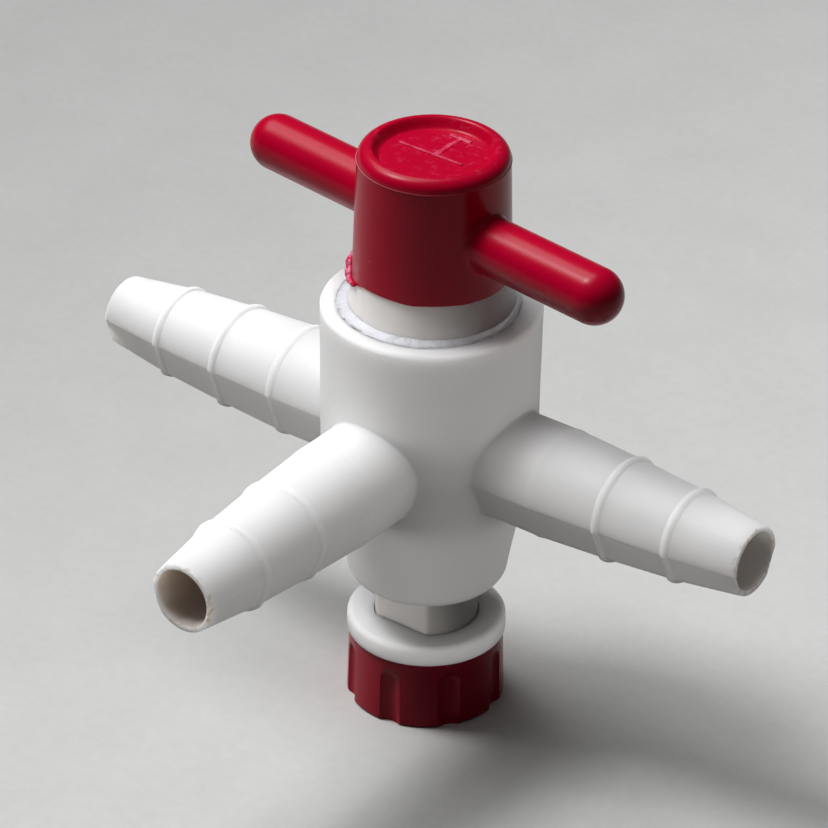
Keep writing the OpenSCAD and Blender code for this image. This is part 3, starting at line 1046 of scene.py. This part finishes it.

# %% [markdown]
# The handle and nut are red polypropylene from a smoother mould, with a deep colour and soft highlights
# along the arms. The roll of flash is painted pinker and lighter, with paler specks: a painted light for
# the lamp shining through the thin roll and glinting on its lumps. It is found by its nearness to the
# middle of the roll and by standing proud of the skirt.

# %% Red polypropylene and its flash
# Semi-gloss and deep: dark in the shade, with soft bright lines towards the lamp.
red_plastic, tree, shader, where = start_material("red_polypropylene", IOR=1.49, Specular_IOR_Level=0.2)
haze = add_node(tree, "TexNoise", {"Vector": where, "Scale": per(6), "Detail": 4.0})
tone = add_node(tree, "Mix", {"Factor": haze, 6: linear("#d20034"), 7: linear("#c6002d")}, data_type="RGBA")
flat = add_node(tree, "VectorMath", {0: where, 1: (1, 1, 0)}, operation="MULTIPLY")
spread = add_node(tree, "VectorMath", {0: flat}, operation="LENGTH")
height = add_node(tree, "SeparateXYZ", {0: where}).outputs["Z"]
flash_middle = towards(thick_angle, 0) * flash_r + Vector((0, 0, hub_foot_z - 0.5 * MM))
off_flash = add_node(tree, "VectorMath", {0: where, 1: flash_middle}, operation="DISTANCE")
near = add_node(tree, "MapRange",
                {"Value": off_flash, "From Min": 2.4 * MM, "From Max": 3.2 * MM, "To Min": 1.0,
                 "To Max": 0.0})
proud = add_node(tree, "Math", {0: spread, 1: skirt_out_r + 0.03 * MM}, operation="GREATER_THAN")
flash_painted_light_mask = add_node(tree, "Math", {0: near, 1: proud}, operation="MULTIPLY")
# Painted light: the flash is painted lighter pink with paler specks, for light shining through the thin roll
# and glinting on its lumps.
flash_glint_noise = add_node(tree, "TexNoise", {"Vector": where, "Scale": per(0.5), "Detail": 2.0})
flash_glint_noise = add_node(tree, "MapRange", {"Value": flash_glint_noise, "From Min": 0.42, "From Max": 0.6})
flash_painted_light_tone = add_node(tree, "Mix",
                      {"Factor": flash_glint_noise, 6: linear("#d8104c"), 7: linear("#fa8cb0")}, data_type="RGBA")
tone = add_node(tree, "Mix", {"Factor": flash_painted_light_mask, 6: tone, 7: flash_painted_light_tone}, data_type="RGBA")
print("red plastic started")

# %% [markdown]
# The mould line under the rim is a sharp little edge. It is painted pale pink, most on the left: a painted
# highlight where the lamp catches it. It is painted where the height and the radius are those of the line.

# %% Painted highlight on the mould line
at_line = add_node(tree, "Math", {0: height, 1: rim_z - 0.04 * MM, 2: 0.09 * MM}, operation="COMPARE")
outside = add_node(tree, "Math", {0: spread, 1: hub_top_r + 0.02 * MM}, operation="GREATER_THAN")
sideways = add_node(tree, "SeparateXYZ", {0: where}).outputs["X"]
# Painted highlight: the line is painted pale pink, most on the left, where the lamp catches it.
left_highlight_share = add_node(tree, "MapRange",
                       {"Value": sideways, "From Min": -6 * MM, "From Max": 5 * MM, "To Min": 0.85,
                        "To Max": 0.1})
seam_painted_highlight = add_node(tree, "Math", {0: at_line, 1: outside}, operation="MULTIPLY")
seam_painted_highlight = add_node(tree, "Math", {0: seam_painted_highlight, 1: left_highlight_share}, operation="MULTIPLY")
tone = add_node(tree, "Mix", {"Factor": seam_painted_highlight, 6: tone, 7: linear("#f0a4b4")}, data_type="RGBA")
print("mould line rubbed")

# %% [markdown]
# Thumbs have worn the raised mark to a paler red and left scuffs in the dish, most of them round the foot
# of the T. One noise about a millimetre across breaks up both, so that the wear looks of one kind.

# %% Worn mark and scuffs
chafe = add_node(tree, "TexNoise", {"Vector": where, "Scale": per(1.3), "Detail": 6.0, "Roughness": 0.65})
raised = add_node(tree, "Math", {0: height, 1: recess_z + 0.068 * MM}, operation="GREATER_THAN")
in_dish = add_node(tree, "Math", {0: spread, 1: dish_r - 0.2 * MM}, operation="LESS_THAN")
mark = add_node(tree, "Math", {0: raised, 1: in_dish}, operation="MULTIPLY")
worn_top = add_node(tree, "MapRange",
                    {"Value": chafe, "From Min": 0.4, "From Max": 0.58, "To Min": 0.3, "To Max": 1.0})
mark = add_node(tree, "Math", {0: mark, 1: worn_top}, operation="MULTIPLY")
tone = add_node(tree, "Mix", {"Factor": mark, 6: tone, 7: linear("#ee5c80")}, data_type="RGBA")
scuff_middle = (0, 4.3 * MM, recess_z)
off_scuff = add_node(tree, "VectorMath", {0: where, 1: scuff_middle}, operation="DISTANCE")
rubbed = add_node(tree, "MapRange",
                  {"Value": off_scuff, "From Min": 0.9 * MM, "From Max": 4 * MM, "To Min": 0.75,
                   "To Max": 0.28})
on_top = add_node(tree, "Math", {0: height, 1: recess_z - 0.05 * MM}, operation="GREATER_THAN")
inner = add_node(tree, "Math", {0: spread, 1: rim_r + 0.5 * rim_round}, operation="LESS_THAN")
scuffs = add_node(tree, "MapRange", {"Value": chafe, "From Min": 0.54, "From Max": 0.66})
for share in (rubbed, on_top, inner):
    scuffs = add_node(tree, "Math", {0: scuffs, 1: share}, operation="MULTIPLY")
tone = add_node(tree, "Mix", {"Factor": scuffs, 6: tone, 7: linear("#e0486a")}, data_type="RGBA")
tree.links.new(tone.outputs[2], shader.inputs["Base Color"])
print("mark worn and dish scuffed")

# %% [markdown]
# The red skin is glossier than the white one. Its grain too is drawn coarser than it is, and faint, so
# that the highlights on the arms aren't quite straight.

# %% Skin of the red plastic
gloss = add_node(tree, "MapRange", {"Value": haze, "To Min": 0.22, "To Max": 0.3})
tree.links.new(gloss.outputs[0], shader.inputs["Roughness"])
grain = add_node(tree, "TexNoise", {"Vector": where, "Scale": per(0.45), "Detail": 3.0})
rough = add_node(tree, "Bump", {"Height": grain, "Strength": 0.16, "Distance": 0.05 * MM})
tree.links.new(rough.outputs[0], shader.inputs["Normal"])
for piece in (tap_handle, tap_nut):
    wear_piece(piece, red_plastic)
print("red pieces painted")

# %% [markdown]
# The grease is a clear, slightly milky silicone film with a wet shine. Some light goes through it and some
# is scattered inside, and small lumps make the shine sparkle.

# %% Grease
# Wet and milky: a bluish white rim with small bright spots.
clear_grease, tree, shader, where = start_material(
    "silicone_grease", IOR=1.41, Roughness=0.18, Transmission_Weight=0.25, Subsurface_Weight=0.6,
    Subsurface_Scale=0.6 * MM, Subsurface_Radius=(1, 1, 1), Base_Color=linear("#e3e5ec"))
lumps = add_node(tree, "TexNoise", {"Vector": where, "Scale": per(0.35), "Detail": 2.0})
film = add_node(tree, "Bump", {"Height": lumps, "Strength": 0.8, "Distance": 0.15 * MM})
tree.links.new(film.outputs[0], shader.inputs["Normal"])
wear_piece(grease_ring, clear_grease)
print("grease painted")

# %% [markdown]
# White plastic glows softly in its own shade, where the red hardly does. Four weak lamps, low on the
# camera's side, stand for the light that the white pieces send to and fro. Light linking ties each lamp to
# the white pieces alone, so the red and the card stay as deep as they are.

# %% Glow of the white pieces
fill_distance = 1.1
fill_sides = (0.8, 0.2)
fill_colour = (1.0, 0.975, 0.945)
for turn, fill_height, power, pieces in (
    (-112, 0.13, 3.6, (tap_body, tap_plug, tap_washer, grease_ring)),
    (-2, 0.13, 3.7, (tap_body, tap_washer, grease_ring)),
    (-70, 0.8, 0.3, (tap_body, tap_washer)),
    (-50, 0.05, 1.9, (tap_washer,)),
):
    place = towards(turn, 0) * fill_distance + Vector((0, 0, fill_height))
    fill = soft_lamp("white_glow", place, crossing, fill_sides, power, fill_colour)
    glowing = bpy.data.collections.new("glowing_pieces")
    for piece in pieces:
        glowing.objects.link(piece)
    fill.light_linking.receiver_collection = glowing
    print("fill lamp for", len(pieces), "pieces")

# %% [markdown]
# Last, each piece is tied to the body that carries it and takes the place of its construction solid,
# which is hidden.

# %% Tie the pieces to the frame
for piece, body, node, slot in (
    (tap_body, "body", "body", "white_moulding"),
    (tap_plug, "key", "plug", "ivory_plug"),
    (tap_handle, "key", "handle", "red_moulding"),
    (tap_washer, "washer", "washer", "white_moulding"),
    (tap_nut, "nut", "nut", "red_moulding"),
):
    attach(piece, body)
    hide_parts(node)
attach(grease_ring, "body")
